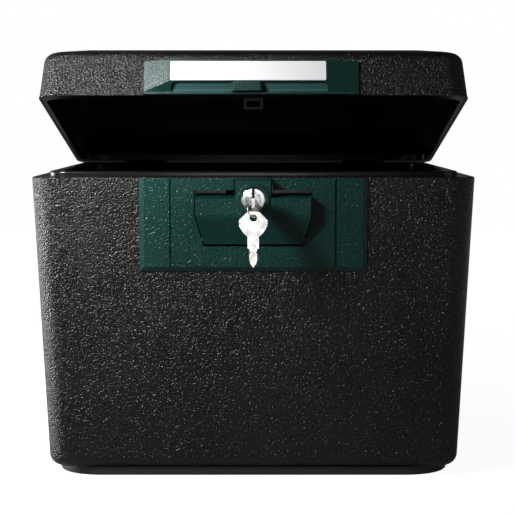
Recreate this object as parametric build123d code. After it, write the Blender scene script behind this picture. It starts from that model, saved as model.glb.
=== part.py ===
from build123d import *
import os
from math import cos, radians, sin, tan

# A fire-resistant document safe with a lift-up lid, shown with the lid a little open.
# Millimetres. X is to the right, Y to the back, Z up. The origin is on the floor,
# under the middle of the base. The front faces -Y.

os.makedirs("parts", exist_ok=True)

# Body: a drafted bucket on a slightly smaller base
BODY_WIDTH = 390.0
BODY_DEPTH = 345.0
RIM_Z = 267.4
BODY_DRAFT = 2.65
BODY_CORNER_R = 20.0
BODY_FOOT_R = 11.0
BASE_HEIGHT = 7.9
SHELL_WALL = 3.0
RIM_EDGE_R = 1.2

# Base cover and its screws
BASE_INSET = 6.2
BASE_CORNER_R = 40.0
BASE_EDGE_R = 1.6
BASE_CELL_R = 10.0
BASE_RIM = 20.0
BASE_RIB = 9.0
BASE_RECESS = 3.0
BASE_SCREW_R = 1.8
BASE_HEAD_R = 4.0
BASE_HEAD_DEPTH = 4.4
BASE_HEAD = 2.4
BASE_SOCKET_R = 1.3
BASE_SCREWS = [(x, y) for x in (-150.0, 0.0, 150.0) for y in (-128.0, 128.0)]

# File space and the tongue round its mouth
FILE_WIDTH = 304.0
FILE_DEPTH = 274.0
FILE_FLOOR_Z = 29.0
FILE_CORNER_R = 12.0
FILE_TAPER = 2.0
LINER_WALL = 3.0
LEDGE_WIDTH = 340.0
LEDGE_DROP = 12.0
RAIL_WIDTH = 3.2
RAIL_HEIGHT = 6.0
RAIL_LENGTH = 250.0
TONGUE_WIDTH = 364.0
TONGUE_DEPTH = 298.0
TONGUE_HEIGHT = 4.5
TONGUE_CORNER_R = 16.0
TONGUE_EDGE_R = 1.6

# Lid
LID_OPEN = 11.85
LID_GAP = 0.5
LID_WIDTH = 378.8
LID_DEPTH = 332.6
LID_DRAFT = 6.0
LID_CORNER_R = 17.0
LID_SKIRT = 39.8
LID_HEIGHT = 47.4
LID_BEVEL = 24.0
LID_EDGE_R = 10.0
LID_BEAD = 0.3
LID_BEAD_HEIGHT = 1.8
PAN_WIDTH = 368.8
PAN_DEPTH = 300.8
PAN_LIP = 6.0
PAN_HEIGHT = 19.0
PAN_SLOPE = 17.0
PAN_WALL = 2.5
PAN_CORNER_R = 14.0
PAN_FILLET_R = 8.0
BAND_HEIGHT = 3.0

# Lid panel, in the frame of the lid's front: x right, y up, z outward.
# It and its label, scoop and tab each sit a little left of the lid's middle.
LID_PANEL_X = -1.8
LID_PANEL_HALF = 93.9
LID_PANEL_TOP = 30.0
LID_PANEL_EDGE = 2.0
LID_PANEL_FACE = 8.0
LABEL_X = -4.6
LABEL_HALF = 68.0
LABEL_LOW = 10.9
LABEL_HIGH = 28.4
LABEL_THICK = 0.5
LABEL_FRAME = 1.2
SCOOP_X = -3.6
SCOOP_HALF = 68.6
SCOOP_LOW = 2.2
SCOOP_HIGH = LABEL_LOW - 0.9
SCOOP_CORNER_R = 5.0
LID_TAB_X = -5.5
LID_TAB_HALF = 13.5
LID_TAB_BEVEL = 2.0
LIP_FACE = 3.4
LID_PEG_X = 84.0
LID_PEG_Y = 16.0

# Strike under the lid's front lip
STRIKE_HALF = 20.0
STRIKE_Y = -162.0
STRIKE_FRONT = STRIKE_Y - 0.6
STRIKE_BACK = STRIKE_Y + 7.0
STRIKE_BASE = 1.5
STRIKE_BLADE_HALF = 8.5
STRIKE_BLADE_THICK = 2.0
STRIKE_DROP = 11.2
STRIKE_SCREW_X = 15.0
STRIKE_SCREW_R = 1.5
STRIKE_SCREW_Y = STRIKE_Y + 3.0
STRIKE_WINDOW_HALF = 6.0
STRIKE_WINDOW_LOW = 9.2
STRIKE_WINDOW_HIGH = 3.6
SLOT_HALF = 12.0
SLOT_FRONT = -168.4
SLOT_BACK = -156.6
SLOT_DEPTH = 9.0

# Hinges
HINGE_Y = BODY_DEPTH / 2 + 6.0
HINGE_Z = RIM_Z
HINGE_X = 118.0
KNUCKLE_R = 5.0
LEAF_WIDTH = 44.0
LEAF_THICK = 2.5
LID_KNUCKLE = 16.0
PIN_R = 2.5
RUNNING_GAP = 0.05
SIDE_GAP = 0.3
LEAF_TOP = -5.0
LEAF_BOTTOM = -34.0
LID_LEAF_TOP = 27.0
LID_LEAF_FOOT = 3.0
LEAF_SCREW_R = 1.75
LEAF_HEAD_R = 3.6
LEAF_HEAD = 1.8
LEAF_SCREWS = [(s * HINGE_X + x, -24.0) for s in (-1, 1) for x in (-14.0, 14.0)]
LID_LEAF_SCREWS = [(s * HINGE_X + x, 18.0) for s in (-1, 1) for x in (-14.0, 14.0)]

# Front panel, in its own frame: x right, y up from the rim edge, z outward
PANEL_HALF = 99.5
PANEL_TOP = -0.9
PANEL_BOTTOM = -82.4
PANEL_THICK = 3.2
PANEL_BEVEL = 4.0
GROOVE_X = 72.0
GROOVE_WIDTH = 2.4
GROOVE_DEPTH = 1.4
GROOVE_BOTTOM = -78.3
FINGER_TOP = -11.0
PEG_R = 3.0
PEG_LENGTH = 2.8
PEG_X = 88.0
PEG_Y = (-14.0, -70.0)
WINDOW_GAP = 0.65
WINDOW_FOOT_GAP = 1.8
TAB_GAP = 0.8

# Latch pocket in the shell behind the panel
POCKET_HALF = 54.0
POCKET_TOP = -4.0
POCKET_BOTTOM = -65.0
POCKET_DEPTH = 16.0
POCKET_WALL = 4.0
PIN_SOCKET = 3.0

# Latch paddle
PADDLE_HALF = 51.0
PADDLE_TOP = -15.9
PADDLE_KINK = -33.8
PADDLE_FOOT_HALF = 43.0
PADDLE_FOOT = -58.5
PADDLE_BACK = -1.0
PADDLE_FACE = 13.5
PADDLE_FOOT_FACE = 4.6
PADDLE_WALL = 2.5
PADDLE_DRAFT = 4.0
PADDLE_CREASE_R = 14.0
WEBS = (-40.0, -20.0, 0.0, 20.0, 40.0)
WEB_HALF = 1.2
TAB_HALF = 16.2
TAB_TOP = -0.8
TAB_BACK = 0.6
PIVOT_Y = -55.0
PIVOT_Z = -3.0
BARREL_R = 4.0
BARREL_HALF = 43.0
PIVOT_PIN_R = 2.0
HOOK_HALF = 4.8
HOOK_TOP = -5.0
HOOK_BOTTOM = -8.2
HOOK_REACH = -12.4
SPRING_R = 2.55
SPRING_WIRE = 0.7
SPRING_PITCH = 1.2
SPRING_TURNS = 4
SPRING_X = 48.2
SPRING_LEG = 17.0
SPRING_LEG_TURN = 35.0
SPRING_HOLE = 1.5

# Lock
LOCK_Y = -18.1
RING_R = 14.0
RING_BORE_R = 11.0
RING_RISE = 1.8
LOCK_HEAD_R = 10.6
LOCK_HEAD_RISE = 2.3
LOCK_BODY_R = 9.5
LOCK_REAR = -6.0
NUT_FLATS = 22.0
NUT_THICK = 3.0
PLUG_R = 6.2
PLUG_REAR = -6.6
CAM_THICK = 2.0
CAM_REACH = 20.0
CAM_WIDTH = 8.0
PLUG_FACE = PADDLE_FACE + LOCK_HEAD_RISE + 0.2
KEYWAY_WIDTH = 2.4
KEYWAY_HALF = 3.6
KEYWAY_DEEP = 17.0
WAFER_THICK = 1.2
WAFER_STEP = 2.2
WAFER_COUNT = 5
WAFER_HALF = 4.6
KEEPER_X = -13.5
KEEPER_OUT = -24.0
KEEPER_THICK = 1.5
KEEPER_LOW = -25.0
KEEPER_HIGH = -11.0
KEEPER_FOOT_LOW = -29.0
KEEPER_LIP = -4.4
KEEPER_SCREW_R = 1.5
KEEPER_SCREW_DEEP = 3.0
KEEPER_SCREW = (-19.0, -24.0)

# Keys: length runs from the free end of the bow to the tip of the blade
KEY_LENGTH = 47.0
KEY_BOW = 21.4
KEY_SHOULDER = 31.2
KEY_BOW_HALF = 12.1
KEY_END_HALF = 4.7
KEY_SHANK_HALF = 4.8
KEY_BLADE_HALF = 3.3
KEY_THICK = 2.2
KEY_BLADE_THICK = 2.0
KEY_HOLE_R = 3.1
KEY_HOLE_AT = 5.2
KEY_GROOVES = (-1.0, 1.0)
KEY_GROOVE_HALF = 0.45
KEY_CORNER_R = 1.3

# The split ring and the spare key hang from the hole of the key in the lock
SPLIT_RING_R = 6.2
SPLIT_WIRE_R = 0.5
SPLIT_RING_TURN = 48.0
SPLIT_RING_TIP = -16.0
RING_OFFSET = (-0.4, -3.3, -6.0)
SPARE_OFFSET = (0.0, -5.2, -12.4)

BODY_SLOPE = tan(radians(BODY_DRAFT))
LID_Z = RIM_Z + LID_GAP

# Frames: each has x right as seen from outside, y up the wall and z outward
FACE = Pos(0, -BODY_DEPTH / 2, RIM_Z) * Rot(X=90 + BODY_DRAFT)
REAR = Rot(Z=180) * FACE
LID_FACE = Pos(0, -LID_DEPTH / 2, LID_Z) * Rot(X=90 - LID_DRAFT)
LID_REAR = Pos(0, LID_DEPTH / 2, LID_Z) * Rot(Z=180) * Rot(X=90 - LID_DRAFT)
LOCK = FACE * Pos(0, LOCK_Y, 0)
OPEN = Pos(0, HINGE_Y, HINGE_Z) * Rot(X=-LID_OPEN) * Pos(0, -HINGE_Y, -HINGE_Z)


def save(name, *shapes):
    """Write one sub-part; several solids make a group."""
    shape = shapes[0] if len(shapes) == 1 else Compound(children=list(shapes))
    export_step(shape, "parts/" + name + ".step")


def block(x, y, z):
    """A box from three (low, high) pairs."""
    size = (x[1] - x[0], y[1] - y[0], z[1] - z[0])
    centre = ((x[0] + x[1]) / 2, (y[0] + y[1]) / 2, (z[0] + z[1]) / 2)
    return Pos(*centre) * Box(*size)


def rod(radius, z0, z1, x=0.0, y=0.0):
    """A cylinder along z."""
    return Pos(x, y, z0) * Cylinder(radius, z1 - z0, align=(Align.CENTER, Align.CENTER, Align.MIN))


def cross_rod(radius, x0, x1, y, z):
    """A cylinder along x."""
    turned = Rot(Y=90) * Cylinder(radius, x1 - x0, align=(Align.CENTER, Align.CENTER, Align.MIN))
    return Pos(x0, y, z) * turned


def side_profile(points, half):
    """A (y, z) outline made into a solid from -half to half in x."""
    outline = Plane.YZ * Polyline(*points, close=True)
    return extrude(make_face(outline), amount=half, both=True)


def frustum(width, depth, radius, z0, z1, slope_low, slope_high):
    """A rounded rectangle that grows or shrinks in a straight line from z0 to z1."""
    low = Pos(0, 0, z0) * RectangleRounded(width - 2 * slope_low, depth - 2 * slope_low, radius)
    high = Pos(0, 0, z1) * RectangleRounded(width - 2 * slope_high, depth - 2 * slope_high, radius)
    return loft([low, high], ruled=True)


def wedge(plane, low, high, z0, z1, reach):
    """A symmetric trapezoid in an upright plane, made into a solid that reaches to both sides."""
    outline = plane * Polyline((-low, z0), (low, z0), (high, z1), (-high, z1), close=True)
    return extrude(make_face(outline), amount=reach, both=True)


def body_form(inset, z0, z1):
    """The drafted form of the body, inset from its outer surface, between two heights."""
    low = inset + BODY_SLOPE * (RIM_Z - z0)
    high = inset + BODY_SLOPE * (RIM_Z - z1)
    across = BODY_WIDTH / 2
    along = BODY_DEPTH / 2
    form = wedge(Plane.XZ, across - low, across - high, z0, z1, BODY_DEPTH)
    form &= wedge(Plane.YZ, along - low, along - high, z0, z1, BODY_WIDTH)
    upright = [e for e in form.edges() if abs((e @ 0).Z - (e @ 1).Z) > 1]
    return fillet(upright, BODY_CORNER_R - inset)


def round_foot(shape, radius):
    """Fillet the edges of the lowest face."""
    return fillet(shape.faces().sort_by(Axis.Z)[0].edges(), radius)


def pocket():
    """The latch pocket, in the panel's frame."""
    return block((-POCKET_HALF, POCKET_HALF), (POCKET_BOTTOM, POCKET_TOP), (-POCKET_DEPTH, 1.0))


def pocket_walls(front):
    """The block that the pocket's tub is cut from, cut off below the liner's flange."""
    walls = FACE * block(
        (-POCKET_HALF - POCKET_WALL, POCKET_HALF + POCKET_WALL),
        (POCKET_BOTTOM - POCKET_WALL, POCKET_TOP + POCKET_WALL),
        (-POCKET_DEPTH - POCKET_WALL, front),
    )
    return walls & block((-100, 100), (-200, -100), (0, RIM_Z - LINER_WALL))


def strike_slot():
    """The slot in the rim that the lid's strike drops into."""
    return block((-SLOT_HALF, SLOT_HALF), (SLOT_FRONT, SLOT_BACK), (RIM_Z - SLOT_DEPTH, RIM_Z + 1.0))


def body_shell():
    outer = round_foot(body_form(0, BASE_HEIGHT, RIM_Z), BODY_FOOT_R)
    outer = fillet(outer.faces().sort_by(Axis.Z)[-1].edges(), RIM_EDGE_R)
    cavity = round_foot(body_form(SHELL_WALL, BASE_HEIGHT + SHELL_WALL, RIM_Z), BODY_FOOT_R - SHELL_WALL)
    deep = -SHELL_WALL - 1
    holes = [FACE * pocket(), FACE * latch_pin()]
    holes += [FACE * rod(PEG_R, deep, 1, x, y) for x in (-PEG_X, PEG_X) for y in PEG_Y]
    holes += [rod(BASE_SCREW_R, 0, BASE_HEIGHT - deep, x, y) for x, y in BASE_SCREWS]
    holes += [REAR * rod(LEAF_SCREW_R, deep, 1, x, y) for x, y in LEAF_SCREWS]
    return outer - cavity - holes


def latch_pocket():
    """The tub behind the shell's front wall that the paddle and the lock move in."""
    holes = [FACE * pocket(), FACE * latch_pin(), FACE * keeper_hole(), strike_slot()]
    return pocket_walls(-SHELL_WALL) - holes


def keeper_hole():
    """The blind hole in the pocket's back for the keeper's screw, in the panel's frame."""
    return rod(KEEPER_SCREW_R, -POCKET_DEPTH - KEEPER_SCREW_DEEP, -POCKET_DEPTH + 2.0, *KEEPER_SCREW)


def liner_envelope():
    """The space the liner takes in the insulation, below its flange."""
    wide = FILE_WIDTH + 2 * LINER_WALL
    deep = FILE_DEPTH + 2 * LINER_WALL
    tub = Pos(0, 0, FILE_FLOOR_Z - LINER_WALL) * extrude(
        RectangleRounded(wide, deep, FILE_CORNER_R + LINER_WALL),
        amount=RIM_Z - FILE_FLOOR_Z,
    )
    shelf = Pos(0, 0, RIM_Z - LEDGE_DROP - LINER_WALL) * extrude(
        RectangleRounded(LEDGE_WIDTH + 2 * LINER_WALL, deep, FILE_CORNER_R + LINER_WALL),
        amount=LEDGE_DROP,
    )
    return round_foot(tub, 6.0) + shelf


def body_liner():
    flange = body_form(SHELL_WALL, RIM_Z - LINER_WALL, RIM_Z)
    tongue = Pos(0, 0, RIM_Z - 1) * extrude(
        RectangleRounded(TONGUE_WIDTH, TONGUE_DEPTH, TONGUE_CORNER_R), amount=TONGUE_HEIGHT + 1
    )
    space = frustum(FILE_WIDTH, FILE_DEPTH, FILE_CORNER_R, FILE_FLOOR_Z, RIM_Z + 10, FILE_TAPER, 0.0)
    space = round_foot(space, 5.0)
    shelf = Pos(0, 0, RIM_Z - LEDGE_DROP) * extrude(
        RectangleRounded(LEDGE_WIDTH, FILE_DEPTH, FILE_CORNER_R), amount=40
    )
    liner = liner_envelope() + flange + tongue - space - shelf
    top = liner.faces().sort_by(Axis.Z)[-1]
    liner = fillet(top.edges(), TONGUE_EDGE_R)
    for side in (-1, 1):
        x0 = side * FILE_WIDTH / 2
        x1 = side * (FILE_WIDTH / 2 + RAIL_WIDTH)
        z0 = RIM_Z - LEDGE_DROP - 1
        rail = block(
            (min(x0, x1), max(x0, x1)),
            (-RAIL_LENGTH / 2, RAIL_LENGTH / 2),
            (z0, z0 + 1 + RAIL_HEIGHT),
        )
        liner += fillet(rail.faces().sort_by(Axis.Z)[-1].edges(), 1.0)
    return liner - strike_slot()


def body_insulation():
    fill = round_foot(
        body_form(SHELL_WALL, BASE_HEIGHT + SHELL_WALL, RIM_Z - LINER_WALL), BODY_FOOT_R - SHELL_WALL
    )
    return fill - liner_envelope() - pocket_walls(5.0)


def base_cover():
    width = BODY_WIDTH - 2 * BODY_SLOPE * RIM_Z - 2 * BASE_INSET
    depth = BODY_DEPTH - 2 * BODY_SLOPE * RIM_Z - 2 * BASE_INSET
    slab = extrude(RectangleRounded(width, depth, BASE_CORNER_R), amount=BASE_HEIGHT)
    slab = round_foot(slab, BASE_EDGE_R)
    # four shallow recesses leave a rim and a cross of ribs to stand on
    cell_x = width / 2 - BASE_RIM - BASE_RIB
    cell_y = depth / 2 - BASE_RIM - BASE_RIB
    cell = extrude(RectangleRounded(cell_x, cell_y, BASE_CELL_R), amount=BASE_RECESS + 1)
    for sx in (-1, 1):
        for sy in (-1, 1):
            slab -= Pos(sx * (BASE_RIB + cell_x / 2), sy * (BASE_RIB + cell_y / 2), -1) * cell
    for x, y in BASE_SCREWS:
        slab -= rod(BASE_SCREW_R, -1, BASE_HEIGHT + 1, x, y)
        slab -= rod(BASE_HEAD_R, -1, BASE_HEAD_DEPTH, x, y)
    return slab


def base_screws():
    screws = []
    for x, y in BASE_SCREWS:
        shank = rod(BASE_SCREW_R, BASE_HEAD_DEPTH - 1, BASE_HEIGHT + SHELL_WALL, x, y)
        head = rod(BASE_HEAD_R - 0.3, BASE_HEAD_DEPTH - BASE_HEAD, BASE_HEAD_DEPTH, x, y)
        screws.append(shank + head - rod(BASE_SOCKET_R, 0, BASE_HEAD_DEPTH - 1.0, x, y))
    return screws


def panel_window():
    """The opening for the paddle, the finger slots above it and the lock's tab."""
    upper = PADDLE_HALF + WINDOW_GAP
    lower = PADDLE_FOOT_HALF + WINDOW_GAP
    foot = PADDLE_FOOT - WINDOW_FOOT_GAP
    outline = Polyline(
        (-upper, FINGER_TOP),
        (-upper, PADDLE_KINK),
        (-lower, foot),
        (lower, foot),
        (upper, PADDLE_KINK),
        (upper, FINGER_TOP),
        close=True,
    )
    window = Pos(0, 0, -1) * extrude(make_face(outline), amount=PANEL_THICK + 2)
    beside = TAB_HALF + TAB_GAP
    slot = block((-beside, beside), (FINGER_TOP - 1, 2.0), (-1, PANEL_THICK + 1))
    return window + slot


def body_panel():
    height = PANEL_TOP - PANEL_BOTTOM
    flat = block((-PANEL_HALF, PANEL_HALF), (PANEL_BOTTOM, PANEL_TOP), (0, 0.8))
    low = Pos(0, (PANEL_TOP + PANEL_BOTTOM) / 2, 0.8) * Rectangle(2 * PANEL_HALF, height)
    high = Pos(0, (PANEL_TOP + PANEL_BOTTOM + PANEL_BEVEL) / 2, PANEL_THICK) * Rectangle(
        2 * (PANEL_HALF - PANEL_BEVEL), height - PANEL_BEVEL
    )
    panel = flat + loft([low, high], ruled=True)
    for x in (-GROOVE_X, GROOVE_X):
        panel -= block(
            (x - GROOVE_WIDTH / 2, x + GROOVE_WIDTH / 2),
            (GROOVE_BOTTOM, 1.0),
            (PANEL_THICK - GROOVE_DEPTH, PANEL_THICK + 1),
        )
    panel -= panel_window()
    for x in (-PEG_X, PEG_X):
        for y in PEG_Y:
            panel += rod(PEG_R, -PEG_LENGTH, 0.5, x, y)
    return panel


def paddle_form(inset):
    """The paddle's outside, or its hollow when inset: a front outline crossed with a side profile."""
    i = inset
    outline = Polyline(
        (-TAB_HALF + i, TAB_TOP - i),
        (-TAB_HALF + i, PADDLE_TOP - i),
        (-PADDLE_HALF + i, PADDLE_TOP - i),
        (-PADDLE_HALF + i, PADDLE_KINK),
        (-PADDLE_FOOT_HALF + i, PADDLE_FOOT + i),
        (PADDLE_FOOT_HALF - i, PADDLE_FOOT + i),
        (PADDLE_HALF - i, PADDLE_KINK),
        (PADDLE_HALF - i, PADDLE_TOP - i),
        (TAB_HALF - i, PADDLE_TOP - i),
        (TAB_HALF - i, TAB_TOP - i),
        close=True,
    )
    back = PADDLE_BACK - (1.0 if inset else 0.0)
    front = Pos(0, 0, back) * extrude(make_face(outline), amount=20.0, taper=PADDLE_DRAFT)
    profile = side_profile(
        [
            (5.0, back - 1),
            (5.0, PADDLE_FACE - i),
            (PADDLE_KINK, PADDLE_FACE - i),
            (PADDLE_FOOT - 1.0, PADDLE_FOOT_FACE - i),
            (PADDLE_FOOT - 1.0, back - 1),
        ],
        PADDLE_HALF + 5,
    )
    return front & profile


def latch_paddle():
    outside = paddle_form(0)
    crease = [
        e
        for e in outside.edges().filter_by(Axis.X)
        if abs(e.center().Y - PADDLE_KINK) < 0.5 and e.center().Z > PADDLE_FACE - 1
    ]
    outside = fillet(crease, PADDLE_CREASE_R)
    paddle = outside - paddle_form(PADDLE_WALL)
    paddle -= block((-TAB_HALF - 1, TAB_HALF + 1), (-4.8, 5.0), (-5.0, TAB_BACK))
    # pivot barrel along the foot, and the webs that carry it
    paddle += cross_rod(BARREL_R, -BARREL_HALF, BARREL_HALF, PIVOT_Y, PIVOT_Z)
    for x in WEBS:
        paddle += block((x - WEB_HALF, x + WEB_HALF), (PIVOT_Y - 2.0, PIVOT_Y + 6.0), (PIVOT_Z, 4.2))
    # hook that holds the lid's strike, on a rib behind the tab
    paddle += block((-HOOK_HALF, HOOK_HALF), (-12.0, HOOK_TOP + 0.2), (TAB_BACK, PADDLE_FACE - 1.0))
    hook = side_profile(
        [
            (HOOK_TOP, PADDLE_BACK + 4.0),
            (HOOK_TOP - 0.8, HOOK_REACH + 2.0),
            (HOOK_BOTTOM + 0.8, HOOK_REACH),
            (HOOK_BOTTOM, HOOK_REACH),
            (HOOK_BOTTOM, PADDLE_BACK - 1.0),
            (HOOK_BOTTOM - 4.0, PADDLE_BACK + 4.0),
        ],
        HOOK_HALF,
    )
    paddle += hook
    # raised collar round the lock
    collar = rod(RING_R, PADDLE_FACE - 1, PADDLE_FACE + RING_RISE, 0, LOCK_Y)
    collar = chamfer(collar.faces().sort_by(Axis.Z)[-1].edges(), 0.7)
    paddle += collar - rod(RING_BORE_R, PADDLE_FACE - 2, PADDLE_FACE + 5, 0, LOCK_Y)
    paddle -= rod(RING_BORE_R, PADDLE_FACE, PADDLE_FACE + 5, 0, LOCK_Y)
    paddle -= rod(LOCK_BODY_R, LOCK_REAR - 1, PADDLE_FACE + 1, 0, LOCK_Y)
    paddle -= rod(NUT_FLATS / 2 + 2.0, LOCK_REAR - 1, PADDLE_FACE - PADDLE_WALL, 0, LOCK_Y)
    # holes in the barrel's ends for the springs' legs
    for x in (BARREL_HALF - SPRING_HOLE, -BARREL_HALF - 1.0):
        paddle -= cross_rod(SPRING_WIRE * 0.8, x, x + SPRING_HOLE + 1.0, PIVOT_Y, PIVOT_Z - SPRING_R)
    return paddle - cross_rod(PIVOT_PIN_R + RUNNING_GAP, -60, 60, PIVOT_Y, PIVOT_Z)


def latch_pin():
    socket = POCKET_HALF + PIN_SOCKET
    return cross_rod(PIVOT_PIN_R, -socket, socket, PIVOT_Y, PIVOT_Z)


def latch_springs():
    """Torsion springs on the pin, one beyond each end of the paddle's barrel."""
    half = SPRING_WIRE / 2
    length = SPRING_PITCH * (SPRING_TURNS - SPRING_LEG_TURN / 360)
    path = Helix(SPRING_PITCH, length, SPRING_R)
    section = Plane(origin=path @ 0, z_dir=path % 0) * Rectangle(SPRING_WIRE, SPRING_WIRE)
    coil = sweep(section, path=path, is_frenet=True)
    # one leg runs along the pin into the barrel's end, the other leans on the pocket's back
    into_barrel = BARREL_HALF - SPRING_HOLE - SPRING_X
    inner = block((SPRING_R - half, SPRING_R + half), (-half, half), (into_barrel, half))
    outer = block((SPRING_R - half, SPRING_R + half), (0.0, SPRING_LEG), (length - half, length + half))
    coil += inner + Rot(Z=-SPRING_LEG_TURN) * outer
    spring = Pos(SPRING_X, PIVOT_Y, PIVOT_Z) * Rot(Y=90) * coil
    return [spring, mirror(spring, about=Plane.YZ)]


def lock_housing():
    head = rod(LOCK_HEAD_R, PADDLE_FACE, PADDLE_FACE + LOCK_HEAD_RISE)
    head = fillet(head.faces().sort_by(Axis.Z)[-1].edges(), 1.1)
    barrel = rod(LOCK_BODY_R, LOCK_REAR, PADDLE_FACE + 0.5)
    return head + barrel - rod(PLUG_R + RUNNING_GAP, LOCK_REAR - 1, PADDLE_FACE + 5)


def lock_nut():
    z0 = PADDLE_FACE - PADDLE_WALL - NUT_THICK
    hexagon = Pos(0, 0, z0) * extrude(RegularPolygon(NUT_FLATS / 2, 6, major_radius=False), amount=NUT_THICK)
    return hexagon - rod(LOCK_BODY_R, z0 - 1, z0 + NUT_THICK + 1)


def wafer_places():
    return [PLUG_FACE - 4.0 - WAFER_STEP * i for i in range(WAFER_COUNT)]


def lock_plug():
    plug = rod(PLUG_R, PLUG_REAR, PLUG_FACE)
    plug = fillet(plug.faces().sort_by(Axis.Z)[-1].edges(), 0.5)
    keyway = block(
        (-KEYWAY_WIDTH / 2, KEYWAY_WIDTH / 2),
        (-KEYWAY_HALF, KEYWAY_HALF),
        (PLUG_FACE - KEYWAY_DEEP, PLUG_FACE + 1),
    )
    plug -= keyway
    plug -= rod(1.25, PLUG_REAR - 1, PLUG_REAR + 4.0)
    for z in wafer_places():
        plug -= block((-2.6, 2.6), (-WAFER_HALF, WAFER_HALF), (z - 0.1 - WAFER_THICK, z + 0.1))
    return plug


def lock_wafers():
    wafers = []
    for z in wafer_places():
        plate = block((-2.4, 2.4), (-WAFER_HALF + 0.1, WAFER_HALF - 0.1), (z - WAFER_THICK, z))
        wafers.append(plate - block((-1.3, 1.3), (-3.7, 3.7), (z - 3, z + 1)))
    return wafers


def lock_cam():
    z1 = PLUG_REAR
    z0 = z1 - CAM_THICK
    arm = block((-CAM_WIDTH / 2, CAM_WIDTH / 2), (-CAM_REACH, 0), (z0, z1))
    arm = fillet(arm.edges().filter_by(Axis.Z).sort_by(Axis.Y)[:2], 2.0)
    return arm + rod(6.0, z0, z1) - rod(1.3, z0 - 1, z1 + 1)


def cam_screw():
    head = rod(3.2, PLUG_REAR - CAM_THICK - 1.8, PLUG_REAR - CAM_THICK)
    head = fillet(head.faces().sort_by(Axis.Z)[0].edges(), 0.7)
    return head + rod(1.25, PLUG_REAR - CAM_THICK - 0.5, PLUG_REAR + 3.8)


def cam_keeper():
    """Bent steel keeper on the back of the pocket; the cam turns in behind its lip."""
    wall = (KEEPER_OUT, KEEPER_OUT + KEEPER_THICK)
    floor = (-POCKET_DEPTH, -POCKET_DEPTH + KEEPER_THICK)
    foot = block((KEEPER_OUT, KEEPER_X - KEEPER_THICK), (KEEPER_FOOT_LOW, -19.0), floor)
    foot += block(wall, (KEEPER_FOOT_LOW, KEEPER_HIGH), floor)
    post = block(wall, (KEEPER_LOW, KEEPER_HIGH), (-POCKET_DEPTH, KEEPER_LIP))
    lip = block((KEEPER_OUT, KEEPER_X), (KEEPER_LOW, KEEPER_HIGH), (KEEPER_LIP - KEEPER_THICK, KEEPER_LIP))
    return foot + post + lip - keeper_hole()


def keeper_screw():
    """Pan-head screw through the keeper's foot."""
    top = -POCKET_DEPTH + KEEPER_THICK
    head = rod(2.7, top, top + 1.5, *KEEPER_SCREW)
    head = fillet(head.faces().sort_by(Axis.Z)[-1].edges(), 0.7)
    return head + rod(KEEPER_SCREW_R, -POCKET_DEPTH - KEEPER_SCREW_DEEP, top + 0.5, *KEEPER_SCREW)


def key_blank():
    """One key, flat in xy: x along its length from the bow's free end, z through its thickness."""
    half = [
        (0.0, KEY_END_HALF),
        (7.4, KEY_BOW_HALF),
        (12.4, KEY_BOW_HALF - 0.3),
        (17.3, KEY_SHANK_HALF + 4.1),
        (KEY_BOW, KEY_SHANK_HALF),
        (KEY_SHOULDER, KEY_SHANK_HALF),
    ]
    lower = [(x, -y) for x, y in reversed(half)]
    bow = make_face(Polyline(*half, *lower, close=True))
    bow = extrude(bow, amount=KEY_THICK / 2, both=True)
    corners = [e for e in bow.edges().filter_by(Axis.Z) if e.center().X < KEY_BOW + 1]
    bow = fillet(corners, KEY_CORNER_R)
    bow -= Pos(KEY_HOLE_AT, 0, 0) * Cylinder(KEY_HOLE_R, 10)
    return bow


def key_grooves(along, z, deep):
    """The two milled grooves on both faces of a key, as blocks to cut away."""
    wide = KEY_GROOVE_HALF
    return [
        block(along, (y - wide, y + wide), (side * z - deep, side * z + deep))
        for side in (-1, 1)
        for y in KEY_GROOVES
    ]


def key_blade():
    cuts = [
        (KEY_SHOULDER - 0.5, KEY_BLADE_HALF),
        (KEY_SHOULDER + 1.6, KEY_BLADE_HALF),
        (KEY_SHOULDER + 2.6, KEY_BLADE_HALF - 0.9),
        (KEY_SHOULDER + 3.6, KEY_BLADE_HALF - 0.9),
        (KEY_SHOULDER + 4.6, KEY_BLADE_HALF),
        (KEY_SHOULDER + 10.2, KEY_BLADE_HALF),
        (KEY_SHOULDER + 11.0, KEY_BLADE_HALF - 0.8),
        (KEY_SHOULDER + 12.0, KEY_BLADE_HALF - 0.4),
        (KEY_LENGTH, 0.5),
    ]
    lower = [(x, -y) for x, y in reversed(cuts)]
    blade = make_face(Polyline(*cuts, *lower, close=True))
    blade = extrude(blade, amount=KEY_BLADE_THICK / 2, both=True)
    return blade - key_grooves((KEY_BOW + 6.0, KEY_LENGTH - 1), KEY_BLADE_THICK / 2, 0.4)


def key_shape():
    grooves = key_grooves((KEY_BOW + 3.0, KEY_SHOULDER + 1), KEY_THICK / 2, 0.5)
    return (key_blank() - grooves) + key_blade()


# A key in the lock has its length along -z of the lock's frame and its bow upright
KEY_IN_LOCK = LOCK * Pos(0, 0, PLUG_FACE + KEY_SHOULDER) * Rot(Y=90)
KEY_HOLE = (LOCK * Pos(0, 0, PLUG_FACE + KEY_SHOULDER - KEY_HOLE_AT)).position
RING_CENTRE = KEY_HOLE + Vector(*RING_OFFSET)
SPARE_HOLE = KEY_HOLE + Vector(*SPARE_OFFSET)


def key_in_lock():
    return KEY_IN_LOCK * key_shape()


def split_ring():
    ring = Torus(SPLIT_RING_R, SPLIT_WIRE_R)
    return Pos(*RING_CENTRE) * Rot(Z=SPLIT_RING_TURN) * Rot(X=90 + SPLIT_RING_TIP) * ring


def spare_key():
    hang = Pos(*SPARE_HOLE) * Rot(X=90) * Rot(Z=-90) * Pos(-KEY_HOLE_AT, 0, 0)
    return hang * key_shape()


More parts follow.
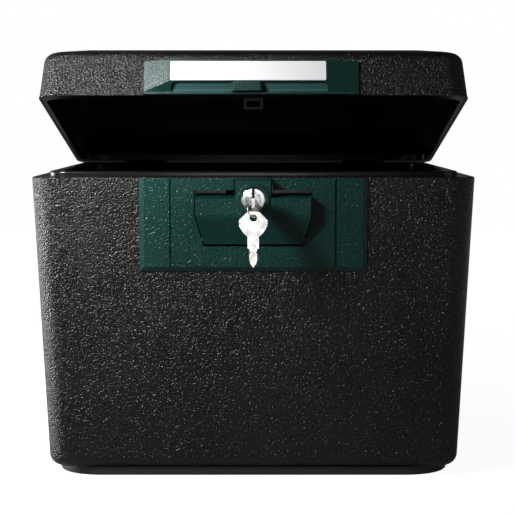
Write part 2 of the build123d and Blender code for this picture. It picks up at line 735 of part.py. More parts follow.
def lid_cavity():
    """The space inside the lid's shell."""
    slope = tan(radians(LID_DRAFT))
    skirt = LID_SKIRT - SHELL_WALL + 0.4
    ceiling = LID_HEIGHT - SHELL_WALL
    rise = SHELL_WALL + slope * skirt
    radius = LID_CORNER_R - SHELL_WALL
    low = frustum(LID_WIDTH, LID_DEPTH, radius, 0, skirt, SHELL_WALL, rise)
    cap = frustum(LID_WIDTH, LID_DEPTH, radius, skirt, ceiling, rise, rise + LID_BEVEL)
    return Pos(0, 0, LID_Z) * (low + cap)


def lid_form():
    slope = tan(radians(LID_DRAFT))
    rise = slope * LID_SKIRT
    skirt = frustum(LID_WIDTH, LID_DEPTH, LID_CORNER_R, 0, LID_SKIRT, 0, rise)
    cap = frustum(LID_WIDTH, LID_DEPTH, LID_CORNER_R, LID_SKIRT, LID_HEIGHT, rise, rise + LID_BEVEL)
    form = skirt + cap
    edge = [e for e in form.edges() if abs(e.center().Z - LID_SKIRT) < 0.01]
    form = fillet(edge, LID_EDGE_R)
    bead = extrude(
        RectangleRounded(LID_WIDTH + 2 * LID_BEAD, LID_DEPTH + 2 * LID_BEAD, LID_CORNER_R + LID_BEAD),
        amount=LID_BEAD_HEIGHT,
    )
    bead = fillet(bead.faces().sort_by(Axis.Z)[-1].edges(), 0.6)
    return Pos(0, 0, LID_Z) * (form + bead)


def lid_shell():
    shell = lid_form() - lid_cavity()
    for x, y in LID_LEAF_SCREWS:
        shell -= LID_REAR * rod(LEAF_SCREW_R, -SHELL_WALL - 1, 1, x, y)
    for x in (LID_PANEL_X - LID_PEG_X, LID_PANEL_X + LID_PEG_X):
        shell -= LID_FACE * rod(PEG_R, -SHELL_WALL - 1, 1, x, LID_PEG_Y)
    return shell


def pan_form(grow):
    """The lid's pan, or the liner round it when grown by the liner's wall."""
    width = PAN_WIDTH + 2 * grow
    depth = PAN_DEPTH + 2 * grow
    kink = PAN_LIP + grow * 0.4
    lip = extrude(RectangleRounded(width, depth, PAN_CORNER_R), amount=kink)
    return lip + frustum(width, depth, PAN_CORNER_R, kink, PAN_HEIGHT + grow, 0.0, PAN_SLOPE)


def liner_band():
    """The flat band of the lid's liner inside the foot of the shell."""
    rise = SHELL_WALL + BAND_HEIGHT * tan(radians(LID_DRAFT))
    return frustum(LID_WIDTH, LID_DEPTH, LID_CORNER_R - SHELL_WALL, 0, BAND_HEIGHT, SHELL_WALL, rise)


def strike_plate():
    """The strike's flat foot, let into the underside of the lid's liner."""
    return block(
        (-STRIKE_HALF, STRIKE_HALF),
        (STRIKE_FRONT, STRIKE_BACK),
        (LID_Z, LID_Z + STRIKE_BASE),
    )


def lid_liner():
    envelope = liner_band() + pan_form(PAN_WALL)
    pan = pan_form(0)
    pan += Pos(0, 0, -1) * extrude(RectangleRounded(PAN_WIDTH, PAN_DEPTH, PAN_CORNER_R), amount=2)
    liner = (Pos(0, 0, LID_Z) * envelope) & lid_cavity()
    liner -= Pos(0, 0, LID_Z) * pan
    inner = [
        e
        for e in liner.edges()
        if abs(e.center().Z - LID_Z - PAN_HEIGHT) < 0.01 and e.bounding_box().size.Z < 0.01
    ]
    liner = fillet(inner, PAN_FILLET_R)
    liner -= strike_plate()
    for x in (-STRIKE_SCREW_X, STRIKE_SCREW_X):
        liner -= rod(STRIKE_SCREW_R, LID_Z - 1, LID_Z + 4, x, STRIKE_SCREW_Y)
    return liner


def lid_insulation():
    envelope = liner_band() + pan_form(PAN_WALL)
    envelope += Pos(0, 0, -1) * Box(LID_WIDTH, LID_DEPTH, 2.0)
    return lid_cavity() - Pos(0, 0, LID_Z) * envelope


def panel_hip():
    """The lid panel's bevelled block: a wide foot that narrows to the label's frame."""
    low = Pos(LID_PANEL_X, (SCOOP_LOW + LID_PANEL_TOP) / 2, LID_PANEL_EDGE) * Rectangle(
        2 * LID_PANEL_HALF, LID_PANEL_TOP - SCOOP_LOW
    )
    foot = LABEL_LOW - LABEL_FRAME / 2
    high = Pos(LABEL_X, (foot + LID_PANEL_TOP) / 2, LID_PANEL_FACE) * Rectangle(
        2 * (LABEL_HALF + LABEL_FRAME), LID_PANEL_TOP - foot
    )
    return loft([low, high], ruled=True)


def finger_scoop():
    """The hollow under the label, with round upper corners and a sloping floor."""
    mouth = Pos(SCOOP_X, (SCOOP_LOW + SCOOP_HIGH) / 2, 0) * Rectangle(
        2 * SCOOP_HALF, SCOOP_HIGH - SCOOP_LOW
    )
    scoop = extrude(mouth, amount=12)
    scoop = fillet(scoop.edges().filter_by(Axis.Z).sort_by(Axis.Y)[2:], SCOOP_CORNER_R)
    floor = side_profile(
        [
            (SCOOP_LOW - 1, 0.5),
            (SCOOP_LOW + 3.0, 1.3),
            (SCOOP_HIGH + 1, 5.4),
            (SCOOP_HIGH + 1, 14),
            (SCOOP_LOW - 1, 14),
        ],
        LID_PANEL_HALF,
    )
    return scoop & floor


def lid_panel():
    """A hipped block with a finger scoop under the label and a tab over the latch."""
    across = (LID_PANEL_X - LID_PANEL_HALF, LID_PANEL_X + LID_PANEL_HALF)
    panel = block(across, (0, LID_PANEL_TOP), (0, LID_PANEL_EDGE)) + panel_hip() - finger_scoop()
    tab = block(
        (LID_TAB_X - LID_TAB_HALF, LID_TAB_X + LID_TAB_HALF),
        (SCOOP_LOW - 0.5, LABEL_LOW),
        (1.0, LID_PANEL_FACE),
    )
    tab = chamfer(tab.edges().filter_by(Axis.Y).sort_by(Axis.Z)[2:], LID_TAB_BEVEL)
    panel += tab
    panel += block(across, (0, SCOOP_LOW), (0, LIP_FACE))
    # the lid's bead runs behind the lip
    behind = (across[0] - 1, across[1] + 1)
    panel -= block(behind, (-1, LID_BEAD_HEIGHT + 0.3), (-1, LID_BEAD + 0.25))
    for x in (LID_PANEL_X - LID_PEG_X, LID_PANEL_X + LID_PEG_X):
        panel += rod(PEG_R, -PEG_LENGTH, 1.0, x, LID_PEG_Y)
    return panel


def label_plate():
    outline = RectangleRounded(2 * LABEL_HALF, LABEL_HIGH - LABEL_LOW, 1.2)
    return Pos(LABEL_X, (LABEL_LOW + LABEL_HIGH) / 2, LID_PANEL_FACE) * extrude(outline, amount=LABEL_THICK)


def lid_strike():
    """Bent steel plate: its window drops over the paddle's hook."""
    blade = block(
        (-STRIKE_BLADE_HALF, STRIKE_BLADE_HALF),
        (STRIKE_Y, STRIKE_Y + STRIKE_BLADE_THICK),
        (RIM_Z - STRIKE_DROP, LID_Z + STRIKE_BASE),
    )
    blade = fillet(blade.edges().filter_by(Axis.Y).sort_by(Axis.Z)[:2], 2.0)
    window = block(
        (-STRIKE_WINDOW_HALF, STRIKE_WINDOW_HALF),
        (STRIKE_Y - 1, STRIKE_Y + 3.0),
        (RIM_Z - STRIKE_WINDOW_LOW, RIM_Z - STRIKE_WINDOW_HIGH),
    )
    plate = strike_plate()
    for x in (-STRIKE_SCREW_X, STRIKE_SCREW_X):
        plate -= rod(STRIKE_SCREW_R, LID_Z - 1, LID_Z + 4, x, STRIKE_SCREW_Y)
    return plate + (blade - window)


def strike_screws():
    places = (-STRIKE_SCREW_X, STRIKE_SCREW_X)
    return [rod(STRIKE_SCREW_R, LID_Z, LID_Z + PAN_WALL, x, STRIKE_SCREW_Y) for x in places]


def leaf_plate(x, top, foot):
    """A hinge leaf's flat plate, in the frame of the wall it is screwed to."""
    plate = block((-x - LEAF_WIDTH / 2, -x + LEAF_WIDTH / 2), (foot, top), (0, LEAF_THICK))
    return fillet(plate.edges().filter_by(Axis.Z), 3.0)


def body_leaf(x):
    """Hinge leaf on the back of the body, with the two outer knuckles."""
    leaf = REAR * leaf_plate(x, LEAF_TOP, LEAF_BOTTOM)
    web = [
        (BODY_DEPTH / 2 + 0.3, RIM_Z - 9.0),
        (BODY_DEPTH / 2 - 0.1, RIM_Z - 14.0),
        (BODY_DEPTH / 2 + 1.8, RIM_Z - 14.0),
        (HINGE_Y + 4.4, HINGE_Z - 2.4),
        (HINGE_Y - 1.0, HINGE_Z),
        (BODY_DEPTH / 2 + 0.7, HINGE_Z - 2.0),
    ]
    arm_length = (LEAF_WIDTH - LID_KNUCKLE) / 2 - SIDE_GAP
    for side in (-1, 1):
        centre = x + side * (LEAF_WIDTH / 2 - arm_length / 2)
        leaf += Pos(centre, 0, 0) * side_profile(web, arm_length / 2)
        leaf += cross_rod(KNUCKLE_R, centre - arm_length / 2, centre + arm_length / 2, HINGE_Y, HINGE_Z)
    leaf -= cross_rod(PIN_R, x - 50, x + 50, HINGE_Y, HINGE_Z)
    for sx, sy in LEAF_SCREWS:
        if abs(-sx - x) < LEAF_WIDTH:
            leaf -= REAR * rod(LEAF_SCREW_R, -1, LEAF_THICK + 1, sx, sy)
    return leaf


def lid_leaf(x):
    """Hinge leaf on the back of the lid, with the middle knuckle."""
    leaf = LID_REAR * leaf_plate(x, LID_LEAF_TOP, LID_LEAF_FOOT)
    arm = [
        (LID_DEPTH / 2 + 1.3, LID_Z + 2.4),
        (HINGE_Y - 3.0, HINGE_Z + 1.6),
        (HINGE_Y + 3.8, HINGE_Z + 3.0),
        (HINGE_Y - 4.6, HINGE_Z + 9.0),
        (LID_DEPTH / 2 + 1.9, LID_Z + 16.0),
        (LID_DEPTH / 2 - 0.6, LID_Z + 14.0),
        (LID_DEPTH / 2 + 0.1, LID_Z + 4.0),
    ]
    leaf += Pos(x, 0, 0) * side_profile(arm, LID_KNUCKLE / 2)
    leaf += cross_rod(KNUCKLE_R, x - LID_KNUCKLE / 2, x + LID_KNUCKLE / 2, HINGE_Y, HINGE_Z)
    leaf -= cross_rod(PIN_R + RUNNING_GAP, x - 50, x + 50, HINGE_Y, HINGE_Z)
    for sx, sy in LID_LEAF_SCREWS:
        if abs(-sx - x) < LEAF_WIDTH:
            leaf -= LID_REAR * rod(LEAF_SCREW_R, -1, LEAF_THICK + 1, sx, sy)
    return leaf


def hinge_pin(x):
    half = LEAF_WIDTH / 2
    pin = cross_rod(PIN_R, x - half - 1.0, x + half, HINGE_Y, HINGE_Z)
    return pin + cross_rod(PIN_R + 1.0, x + half, x + half + 1.4, HINGE_Y, HINGE_Z)


def leaf_screws(frame, places):
    """Pan-head screws through a leaf into the wall behind it."""
    screws = []
    for x, y in places:
        head = rod(LEAF_HEAD_R, LEAF_THICK, LEAF_THICK + LEAF_HEAD, x, y)
        head = fillet(head.faces().sort_by(Axis.Z)[-1].edges(), 0.9)
        shank = rod(LEAF_SCREW_R, -PEG_LENGTH, LEAF_THICK + 0.5, x, y)
        screws.append(frame * (head + shank))
    return screws


def main():
    save("body_shell", body_shell())
    save("latch_pocket", latch_pocket())
    save("body_liner", body_liner())
    save("body_insulation", body_insulation())
    save("base_cover", base_cover())
    save("base_screws", *base_screws())
    save("body_panel", FACE * body_panel())
    save("latch_paddle", FACE * latch_paddle())
    save("latch_pin", FACE * latch_pin())
    save("latch_springs", *[FACE * s for s in latch_springs()])
    save("lock_housing", LOCK * lock_housing())
    save("lock_nut", LOCK * lock_nut())
    save("lock_plug", LOCK * lock_plug())
    save("lock_wafers", *[LOCK * w for w in lock_wafers()])
    save("lock_cam", LOCK * lock_cam())
    save("cam_screw", LOCK * cam_screw())
    save("cam_keeper", FACE * cam_keeper())
    save("keeper_screw", FACE * keeper_screw())
    save("key_in_lock", key_in_lock())
    save("split_ring", split_ring())
    save("spare_key", spare_key())
    save("lid_shell", OPEN * lid_shell())
    save("lid_liner", OPEN * lid_liner())
    save("lid_insulation", OPEN * lid_insulation())
    save("lid_panel", OPEN * (LID_FACE * lid_panel()))
    save("label_plate", OPEN * (LID_FACE * label_plate()))
    save("lid_strike", OPEN * lid_strike())
    save("strike_screws", *[OPEN * s for s in strike_screws()])
    for name, x in (("left", -HINGE_X), ("right", HINGE_X)):
        save("hinge_body_leaf_" + name, body_leaf(x))
        save("hinge_lid_leaf_" + name, OPEN * lid_leaf(x))
        save("hinge_pin_" + name, hinge_pin(x))
    save("body_leaf_screws", *leaf_screws(REAR, LEAF_SCREWS))
    save("lid_leaf_screws", *leaf_screws(OPEN * LID_REAR, LID_LEAF_SCREWS))


main()
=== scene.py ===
import math

import bpy
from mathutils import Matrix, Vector

# Document safe: finishes, light, floor and camera around the fixed frame. The scene adds no
# shapes to the safe. Metres, Z up, the front faces -Y. Colours are linear.

MM = 0.001

# Camera, fitted to the rim, the lid's corners, the tongue and the foot
IMAGE_PX = 515
FOCAL_PX = 1598.0
SENSOR_MM = 36.0
CAMERA_PLACE = (0.0036, -1.563, 0.3183)
CAMERA_PITCH = 4.97
CAMERA_REACH = 20.0

# Key light: up and to the left as the lock sees it, aimed at the upper left corner
LOCK_PLACE = Vector((0.0, -0.1876, 0.2486))
KEY_AZIMUTH = 50.0
KEY_HEIGHT = 29.0
KEY_DISTANCE = 0.6
KEY_SIZE = 0.14
KEY_WATTS = 1.6
KEY_AIM = (-0.19, -0.17, 0.3)
KEY_SPREAD = 80.0

# Small soft box under the camera, seen in the keys and the lock
FRONT_PLACE = (-0.03, -1.56, 0.17)
FRONT_SIZE = 0.2
FRONT_WATTS = 0.45

# Soft box at the left, seen in the left corners and edges. It stays lower than the lid.
LEFT_PLACE = (-0.95, 0.12, 0.12)
LEFT_AIM = (-0.19, -0.12, 0.17)
LEFT_SIZE = 0.34
LEFT_WATTS = 3.6
LEFT_SPREAD = 110.0

# What gloss sees of the world: a dim backdrop behind the safe, a board at the right and a
# bright edge at the left. Each span says where it begins and where it is full.
BACKDROP_SPAN = (0.1, 0.9)
BACKDROP_GLOSS = 0.06
BOARD_WAY = (0.84, -0.5, 0.2)
BOARD_SPAN = (0.75, 0.97)
BOARD_GLOSS = 0.35
EDGE_WAY = (-0.94, 0.34, 0.0)
EDGE_SPAN = (0.72, 0.9)
EDGE_GLOSS = 1.0

# Soft light from the world, from just under the horizon to straight above
SKY_SPAN = (-0.3, 1.0)
SKY_FILL = (0.0, 0.08)

# Floor: its matt white, and what gloss sees of it behind the front and at either side
FLOOR_SIZE = 6.0
FLOOR_WHITES = ((0.24, 0.24, 0.24), (0.28, 0.28, 0.28))
FLOOR_SPECKS = 60.0
FLOOR_SPAN = (-0.5, -0.22)
FLOOR_GLOSS = 0.08
LEFT_FLOOR_SPAN = (-0.45, -0.95)
LEFT_FLOOR_GLOSS = 0.8
RIGHT_FLOOR_SPAN = (0.45, 0.95)
RIGHT_FLOOR_GLOSS = 0.5

# The floor's own white, near the safe and far from it, and the distances between them
GLOW = (0.95, 1.0)
GLOW_REACH = (0.3, 1.2)

# Colours
WHITE = (1.0, 1.0, 1.0, 1.0)
BLACK = (0.0014, 0.0016, 0.0013)
BLACK_SMOOTH = (0.004, 0.0042, 0.0038)
BLACK_STEEL = (0.002, 0.002, 0.0021)
BASE_GREY = (0.016, 0.017, 0.0175)
TEAL = (0.001, 0.024, 0.0195)
# Paler teal for the hollow of the lid panel's finger scoop: painted sheen, standing in for its
# reflection of the pale floor
SCOOP_PAINTED_SHEEN_TEAL = (0.03, 0.085, 0.085)
LABEL_WHITE = (0.88, 0.88, 0.9)
LABEL_SHADE = (0.84, 0.84, 0.85)
CHROME = (0.86, 0.87, 0.88)
NICKEL = (0.93, 0.92, 0.9)
BRASS = (0.62, 0.44, 0.17)
ZINC = (0.45, 0.46, 0.48)
FILL = (0.55, 0.52, 0.46)
FILL_SHADE = (0.4, 0.38, 0.34)

# The span that most values of a noise lie in
NOISE_SPAN = (0.3, 0.7)

# Stippled plastic: heights of the lowest and the tallest pebbles, the fine grain on them,
# how far the painted glint reaches from a pebble's middle, and the broad dusty patches. The
# painted glint is a paler middle on each pebble, standing in for the light the pebble catches
PEBBLE_HEIGHTS = (-0.8, -1.2)
PAINTED_GLINT_REACH = (0.3, 0.05)
FINE_SCALE = 2.1
FINE_ROUGHNESS = 0.6
FINE_HEIGHT = 0.12
DUST_SCALE = 14.0
DUST_SPAN = (0.35, 0.7)
DUST_SHARE = 0.25
STIPPLE_GLOSS = (-0.07, 0.09)
STIPPLE_SPECULAR = 0.42

# Satin plastic: faint flow marks and a very fine grain
FLOW_SCALE = 9.0
FLOW_SPAN = (0.35, 0.75)
FLOW_SHARE = 0.6
FLOW_PALER = 1.7
FLOW_GLOSS = (-0.05, 0.06)
SATIN_SCALE = 2600.0
SATIN_STRENGTH = 0.25
SATIN_DEPTH = 0.02 * MM

# Metal: fine lines and small stains
LINE_SCALE = 1500.0
LINE_ROUGHNESS = 0.6
LINE_DEPTH = 0.03 * MM
STAIN_SCALE = 180.0
STAIN_SPAN = (0.45, 0.75)
STAIN_SHARE = 0.7
STAIN_DARKER = 0.8
STAIN_GLOSS_SPAN = (0.3, 0.8)
STAIN_GLOSS = 0.1

# Label: semi-gloss, a little cloudy, with the faint unevenness of moulded plastic
CLOUD_SCALE = 30.0
CLOUD_SPAN = (0.4, 0.8)
CLOUD_SHARE = 0.5
LABEL_ROUGH = (0.22, 0.3)
LABEL_SCALE = 700.0
LABEL_STRENGTH = 0.15
LABEL_DEPTH = 0.02 * MM

# Mineral fill: pits, patches and a chalky surface
PIT_SCALE = 260.0
PIT_STRENGTH = 0.6
PIT_DEPTH = 0.5 * MM
PATCH_SCALE = 40.0
FILL_ROUGH = (0.8, 0.95)

# The hollow of the finger scoop in the lid panel, along X, Y and Z
SCOOP_HOLLOW = {"X": (-0.0722, 0.065), "Y": (-0.1606, -0.1570), "Z": (0.3409, 0.3500)}

# Sockets of the Mix node, which have no names of their own: factor, the two inputs, output
MIX_COLOUR = (0, 6, 7, 2)
MIX_VALUE = (0, 2, 3, 0)

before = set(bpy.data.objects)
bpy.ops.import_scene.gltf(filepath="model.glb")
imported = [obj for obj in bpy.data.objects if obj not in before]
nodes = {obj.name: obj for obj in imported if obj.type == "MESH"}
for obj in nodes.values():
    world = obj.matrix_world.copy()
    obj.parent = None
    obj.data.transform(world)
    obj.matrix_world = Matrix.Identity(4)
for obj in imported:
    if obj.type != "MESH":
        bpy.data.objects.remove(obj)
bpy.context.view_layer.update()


def new_material(name):
    """A new material with its node tree and its shader."""
    material = bpy.data.materials.new(name)
    material.use_nodes = True
    tree = material.node_tree
    return material, tree, tree.nodes["Principled BSDF"]


def is_socket(value):
    return isinstance(value, bpy.types.NodeSocket)


def add(tree, kind, inputs=None, **settings):
    """Adds a node. inputs maps a socket to a value, or to the output that feeds it."""
    node = tree.nodes.new(kind)
    for key, value in settings.items():
        setattr(node, key, value)
    for key, value in (inputs or {}).items():
        if is_socket(value):
            tree.links.new(value, node.inputs[key])
        else:
            node.inputs[key].default_value = value
    return node


def math_node(tree, operation, a, b=0.0, c=0.0):
    return add(tree, "ShaderNodeMath", {0: a, 1: b, 2: c}, operation=operation).outputs[0]


def ramp(tree, value, span, out=(0.0, 1.0)):
    """A value taken in a straight line from span to out, and held at its ends."""
    limits = {"From Min": span[0], "From Max": span[1], "To Min": out[0], "To Max": out[1]}
    return add(tree, "ShaderNodeMapRange", {"Value": value, **limits}).outputs["Result"]


def mix(tree, kind, sockets, factor, a, b):
    first, second, third, result = sockets
    inputs = {first: factor, second: a, third: b}
    return add(tree, "ShaderNodeMix", inputs, data_type=kind).outputs[result]


def mix_colour(tree, factor, a, b):
    """A colour between a and b. Each is three numbers or a socket."""
    a, b = (colour if is_socket(colour) else (*colour, 1.0) for colour in (a, b))
    return mix(tree, "RGBA", MIX_COLOUR, factor, a, b)


def mix_value(tree, factor, a, b):
    return mix(tree, "FLOAT", MIX_VALUE, factor, a, b)


def place(tree):
    return add(tree, "ShaderNodeTexCoord").outputs["Object"]


def noise(tree, where, scale, detail=2.0, roughness=0.5):
    inputs = {"Vector": where, "Scale": scale, "Detail": detail, "Roughness": roughness}
    return add(tree, "ShaderNodeTexNoise", inputs).outputs["Fac"]


def cells(tree, where, scale):
    """Rounded cells: how far a point is from its cell's middle, and the cell's own colour."""
    node = add(tree, "ShaderNodeTexVoronoi", {"Vector": where, "Scale": scale}, feature="F1")
    return node.outputs["Distance"], node.outputs["Color"]


def split(tree, vector):
    return add(tree, "ShaderNodeSeparateXYZ", {"Vector": vector}).outputs


def times(colour, factor):
    """A colour made paler or darker, held at white."""
    return tuple(min(1.0, channel * factor) for channel in colour)


def skin(tree, shader, tint, gloss, height, strength, depth):
    """Joins a colour, a roughness and a bump to the shader. The depth is in metres."""
    tree.links.new(tint, shader.inputs["Base Color"])
    tree.links.new(gloss, shader.inputs["Roughness"])
    inputs = {"Height": height, "Strength": strength, "Distance": depth}
    bump = add(tree, "ShaderNodeBump", inputs)
    tree.links.new(bump.outputs["Normal"], shader.inputs["Normal"])


def scoop_mask(tree, where):
    """1 in the hollow of the lid panel's finger scoop and 0 elsewhere. The hollow loses its
    stipple and gets a painted sheen, a paler teal standing in for its reflection of the pale
    floor.
    """
    spot = split(tree, where)
    mask = 1.0
    for axis, (low, high) in SCOOP_HOLLOW.items():
        above = math_node(tree, "GREATER_THAN", spot[axis], low)
        below = math_node(tree, "LESS_THAN", spot[axis], high)
        both = math_node(tree, "MULTIPLY", above, below)
        mask = math_node(tree, "MULTIPLY", mask, both)
    return mask


def stippled(name, colour, grain_mm, depth_mm, rough, glint_and_dust_paleness, scoop=False):
    """Moulded plastic with a pebbled grain. Each pebble's middle is paler, a painted glint
    standing in for the light it catches, and the broad dusty patches take the same pale colour;
    the paleness factor says how much paler.
    """
    material, tree, shader = new_material(name)
    where = place(tree)
    scale = 1.0 / (grain_mm * MM)
    away, chance = cells(tree, where, scale)
    tall = ramp(tree, split(tree, chance)["X"], (0.0, 1.0), PEBBLE_HEIGHTS)
    fine = noise(tree, where, scale * FINE_SCALE, 2.0, FINE_ROUGHNESS)
    broad = noise(tree, where, DUST_SCALE, 3.0)
    height = math_node(tree, "MULTIPLY", math_node(tree, "MULTIPLY", away, away), tall)
    height = math_node(tree, "MULTIPLY_ADD", fine, FINE_HEIGHT, height)
    # One pale colour serves both the painted glints on the pebbles' middles and the dusty
    # patches
    painted_glint_and_dust_pale = times(colour, glint_and_dust_paleness)
    # Painted glints: each pebble is paler towards its middle, standing in for the light it
    # catches
    tint = mix_colour(tree, ramp(tree, away, PAINTED_GLINT_REACH), colour, painted_glint_and_dust_pale)
    tint = mix_colour(tree, ramp(tree, broad, DUST_SPAN, (0.0, DUST_SHARE)), tint, painted_glint_and_dust_pale)
    if scoop:
        # The scoop's hollow loses its stipple and takes a paler teal, a painted sheen standing
        # in for its reflection of the pale floor
        smooth_and_sheen = scoop_mask(tree, where)
        height = math_node(tree, "MULTIPLY", height, math_node(tree, "SUBTRACT", 1.0, smooth_and_sheen))
        tint = mix_colour(tree, smooth_and_sheen, tint, SCOOP_PAINTED_SHEEN_TEAL)
    gloss = ramp(tree, fine, NOISE_SPAN, [rough + change for change in STIPPLE_GLOSS])
    skin(tree, shader, tint, gloss, height, 1.0, depth_mm * MM)
    shader.inputs["Specular IOR Level"].default_value = STIPPLE_SPECULAR
    return material


def smooth_plastic(name, colour, rough, specular=0.5):
    """Satin plastic or paint."""
    material, tree, shader = new_material(name)
    where = place(tree)
    flow = noise(tree, where, FLOW_SCALE, 4.0)
    grain = noise(tree, where, SATIN_SCALE)
    marks = ramp(tree, flow, FLOW_SPAN, (0.0, FLOW_SHARE))
    tint = mix_colour(tree, marks, colour, times(colour, FLOW_PALER))
    gloss = ramp(tree, flow, NOISE_SPAN, [rough + change for change in FLOW_GLOSS])
    skin(tree, shader, tint, gloss, grain, SATIN_STRENGTH, SATIN_DEPTH)
    shader.inputs["Specular IOR Level"].default_value = specular
    return material


def metal(name, colour, rough, stretch=(1.0, 1.0, 1.0), scratch=0.1):
    """Plated or plain metal. Where stretch is small, the fine lines run along that axis."""
    material, tree, shader = new_material(name)
    shader.inputs["Metallic"].default_value = 1.0
    where = place(tree)
    drawn = add(tree, "ShaderNodeMapping", {"Vector": where, "Scale": stretch})
    lines = noise(tree, drawn.outputs["Vector"], LINE_SCALE, 3.0, LINE_ROUGHNESS)
    stain = noise(tree, where, STAIN_SCALE, 3.0)
    spots = ramp(tree, stain, STAIN_SPAN, (0.0, STAIN_SHARE))
    tint = mix_colour(tree, spots, colour, times(colour, STAIN_DARKER))
    gloss = ramp(tree, stain, STAIN_GLOSS_SPAN, (rough, rough + STAIN_GLOSS))
    skin(tree, shader, tint, gloss, lines, scratch, LINE_DEPTH)
    return material


def label_plastic(name):
    material, tree, shader = new_material(name)
    where = place(tree)
    cloud = noise(tree, where, CLOUD_SCALE, 3.0)
    shade = ramp(tree, cloud, CLOUD_SPAN, (0.0, CLOUD_SHARE))
    tint = mix_colour(tree, shade, LABEL_WHITE, LABEL_SHADE)
    gloss = ramp(tree, cloud, NOISE_SPAN, LABEL_ROUGH)
    uneven = noise(tree, where, LABEL_SCALE, 1.0)
    skin(tree, shader, tint, gloss, uneven, LABEL_STRENGTH, LABEL_DEPTH)
    return material


def mineral(name):
    material, tree, shader = new_material(name)
    where = place(tree)
    pits = cells(tree, where, PIT_SCALE)[0]
    patches = noise(tree, where, PATCH_SCALE, 4.0)
    tint = mix_colour(tree, ramp(tree, patches, NOISE_SPAN), FILL, FILL_SHADE)
    gloss = ramp(tree, patches, NOISE_SPAN, FILL_ROUGH)
    skin(tree, shader, tint, gloss, pits, PIT_STRENGTH, PIT_DEPTH)
    return material


def dress(material, *names):
    """Gives one material to CAD nodes."""
    for name in names:
        mesh = nodes[name].data
        mesh.materials.clear()
        mesh.materials.append(material)


def finishes():
    shell = stippled("shell_stipple", BLACK, grain_mm=1.6, depth_mm=0.8, rough=0.25, glint_and_dust_paleness=16.0)
    dress(shell, "body_shell", "lid_shell")
    panel = stippled("panel_stipple", TEAL, grain_mm=1.4, depth_mm=0.42, rough=0.28, glint_and_dust_paleness=3.0)
    dress(panel, "body_panel", "latch_paddle")
    lid_panel = stippled(
        "lid_panel_stipple", TEAL, grain_mm=1.3, depth_mm=0.3, rough=0.34, glint_and_dust_paleness=2.6, scoop=True
    )
    dress(lid_panel, "lid_panel")
    liner = smooth_plastic("liner_black", BLACK_SMOOTH, rough=0.2)
    dress(liner, "body_liner", "lid_liner", "latch_pocket")
    dress(smooth_plastic("base_grey", BASE_GREY, rough=0.4), "base_cover")
    dress(label_plastic("label_white"), "label_plate")
    dress(metal("chrome", CHROME, rough=0.06, scratch=0.03), "lock_housing", "lock_plug")
    nickel = metal("nickel", NICKEL, rough=0.2, stretch=(1.0, 1.0, 0.08), scratch=0.2)
    dress(nickel, "key_in_lock", "spare_key", "split_ring")
    dress(metal("brass", BRASS, rough=0.25), "lock_nut", "lock_wafers")
    zinc = metal("zinc", ZINC, rough=0.32, stretch=(1.0, 1.0, 0.2), scratch=0.3)
    dress(zinc, "latch_pin", "lock_cam", "cam_screw", "latch_springs")
    dress(zinc, "base_screws", "hinge_pin_left", "hinge_pin_right")
    steel = smooth_plastic("black_steel", BLACK_STEEL, rough=0.6, specular=0.1)
    dress(steel, "hinge_body_leaf_left", "hinge_body_leaf_right", "body_leaf_screws")
    dress(steel, "hinge_lid_leaf_left", "hinge_lid_leaf_right", "lid_leaf_screws")
    dress(steel, "cam_keeper", "keeper_screw", "lid_strike", "strike_screws")
    dress(mineral("mineral_fill"), "body_insulation", "lid_insulation")


def to_the_eye(tree, rays):
    """1 for the rays that the camera sends out, also through something clear."""
    return math_node(tree, "MAXIMUM", rays["Is Camera Ray"], rays["Is Transmission Ray"])


def patch(tree, way, aim, span, level):
    """A bright patch of the world round the direction aim."""
    toward = add(tree, "ShaderNodeVectorMath", {0: way, 1: aim}, operation="DOT_PRODUCT")
    return ramp(tree, toward.outputs["Value"], span, (0.0, level))


def studio():
    """A world that is white to the eye, darker to gloss and a weak fill for the rest."""
    world = bpy.data.worlds.new("studio")
    bpy.context.scene.world = world
    world.use_nodes = True
    tree = world.node_tree
    back = tree.nodes["Background"]
    way = add(tree, "ShaderNodeTexCoord").outputs["Generated"]
    along = split(tree, way)
    gloss = ramp(tree, along["Y"], BACKDROP_SPAN, (0.0, BACKDROP_GLOSS))
    board = patch(tree, way, BOARD_WAY, BOARD_SPAN, BOARD_GLOSS)
    gloss = math_node(tree, "MAXIMUM", gloss, board)
    edge = patch(tree, way, EDGE_WAY, EDGE_SPAN, EDGE_GLOSS)
    gloss = math_node(tree, "MAXIMUM", gloss, edge)
    fill = ramp(tree, along["Z"], SKY_SPAN, SKY_FILL)
    rays = add(tree, "ShaderNodeLightPath").outputs
    strength = mix_value(tree, rays["Is Glossy Ray"], fill, gloss)
    strength = mix_value(tree, to_the_eye(tree, rays), strength, 1.0)
    tree.links.new(strength, back.inputs["Strength"])
    back.inputs["Color"].default_value = WHITE


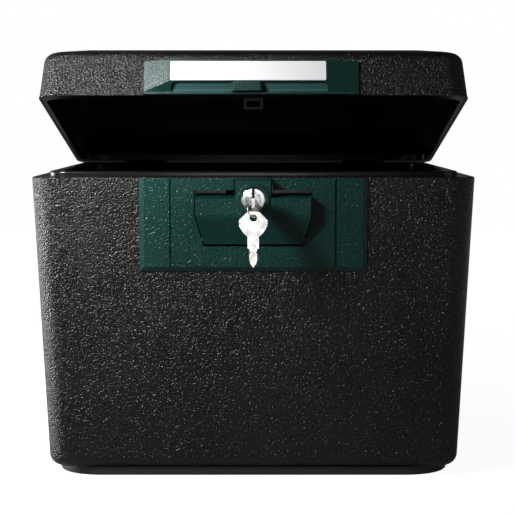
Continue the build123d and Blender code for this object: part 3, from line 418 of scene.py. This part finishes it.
def floor():
    """White floor that glows just enough to meet the backdrop and keeps the safe's shadow."""
    bpy.ops.mesh.primitive_plane_add(size=FLOOR_SIZE, location=(0.0, 0.0, 0.0))
    plane = bpy.context.object
    plane.name = "floor"
    material, tree, shader = new_material("floor_white")
    tree.nodes.remove(shader)
    output = tree.nodes["Material Output"]
    where = place(tree)
    tint = mix_colour(tree, noise(tree, where, FLOOR_SPECKS), *FLOOR_WHITES)
    matt = add(tree, "ShaderNodeBsdfDiffuse", {"Color": tint})
    spot = split(tree, where)
    near = ramp(tree, spot["Y"], FLOOR_SPAN, (0.0, FLOOR_GLOSS))
    left = ramp(tree, spot["X"], LEFT_FLOOR_SPAN, (0.0, LEFT_FLOOR_GLOSS))
    right = ramp(tree, spot["X"], RIGHT_FLOOR_SPAN, (0.0, RIGHT_FLOOR_GLOSS))
    bright = math_node(tree, "MAXIMUM", near, math_node(tree, "MAXIMUM", left, right))
    rays = add(tree, "ShaderNodeLightPath").outputs
    gloss = math_node(tree, "MULTIPLY", rays["Is Glossy Ray"], bright)
    seen = math_node(tree, "MAXIMUM", to_the_eye(tree, rays), gloss)
    away = add(tree, "ShaderNodeVectorMath", {0: where}, operation="LENGTH")
    level = ramp(tree, away.outputs["Value"], GLOW_REACH, GLOW)
    strength = math_node(tree, "MULTIPLY", seen, level)
    glow = add(tree, "ShaderNodeEmission", {"Strength": strength})
    both = add(tree, "ShaderNodeAddShader", {0: matt.outputs[0], 1: glow.outputs[0]})
    tree.links.new(both.outputs[0], output.inputs["Surface"])
    plane.data.materials.append(material)


def area_light(name, spot, aim, size, watts, spread=180.0):
    data = bpy.data.lights.new(name, "AREA")
    data.shape = "SQUARE"
    data.size = size
    data.energy = watts
    data.spread = math.radians(spread)
    lamp = bpy.data.objects.new(name, data)
    lamp.location = spot
    lamp.rotation_euler = (Vector(aim) - Vector(spot)).to_track_quat("-Z", "Y").to_euler()
    bpy.context.scene.collection.objects.link(lamp)


def lights():
    turn = math.radians(KEY_AZIMUTH)
    lift = math.radians(KEY_HEIGHT)
    level = math.cos(lift)
    way = Vector((-math.sin(turn) * level, -math.cos(turn) * level, math.sin(lift)))
    key = LOCK_PLACE + way * KEY_DISTANCE
    area_light("key_light", key, KEY_AIM, KEY_SIZE, KEY_WATTS, KEY_SPREAD)
    area_light("front_light", FRONT_PLACE, LOCK_PLACE, FRONT_SIZE, FRONT_WATTS)
    area_light("left_light", LEFT_PLACE, LEFT_AIM, LEFT_SIZE, LEFT_WATTS, LEFT_SPREAD)


def camera():
    data = bpy.data.cameras.new("camera")
    data.sensor_width = SENSOR_MM
    data.lens = SENSOR_MM * FOCAL_PX / IMAGE_PX
    data.clip_end = CAMERA_REACH
    view = bpy.data.objects.new("camera", data)
    view.location = CAMERA_PLACE
    view.rotation_euler = (math.radians(90.0 - CAMERA_PITCH), 0.0, 0.0)
    bpy.context.scene.collection.objects.link(view)
    bpy.context.scene.camera = view


camera()
studio()
floor()
lights()
finishes()
bpy.context.scene.view_settings.view_transform = "Standard"
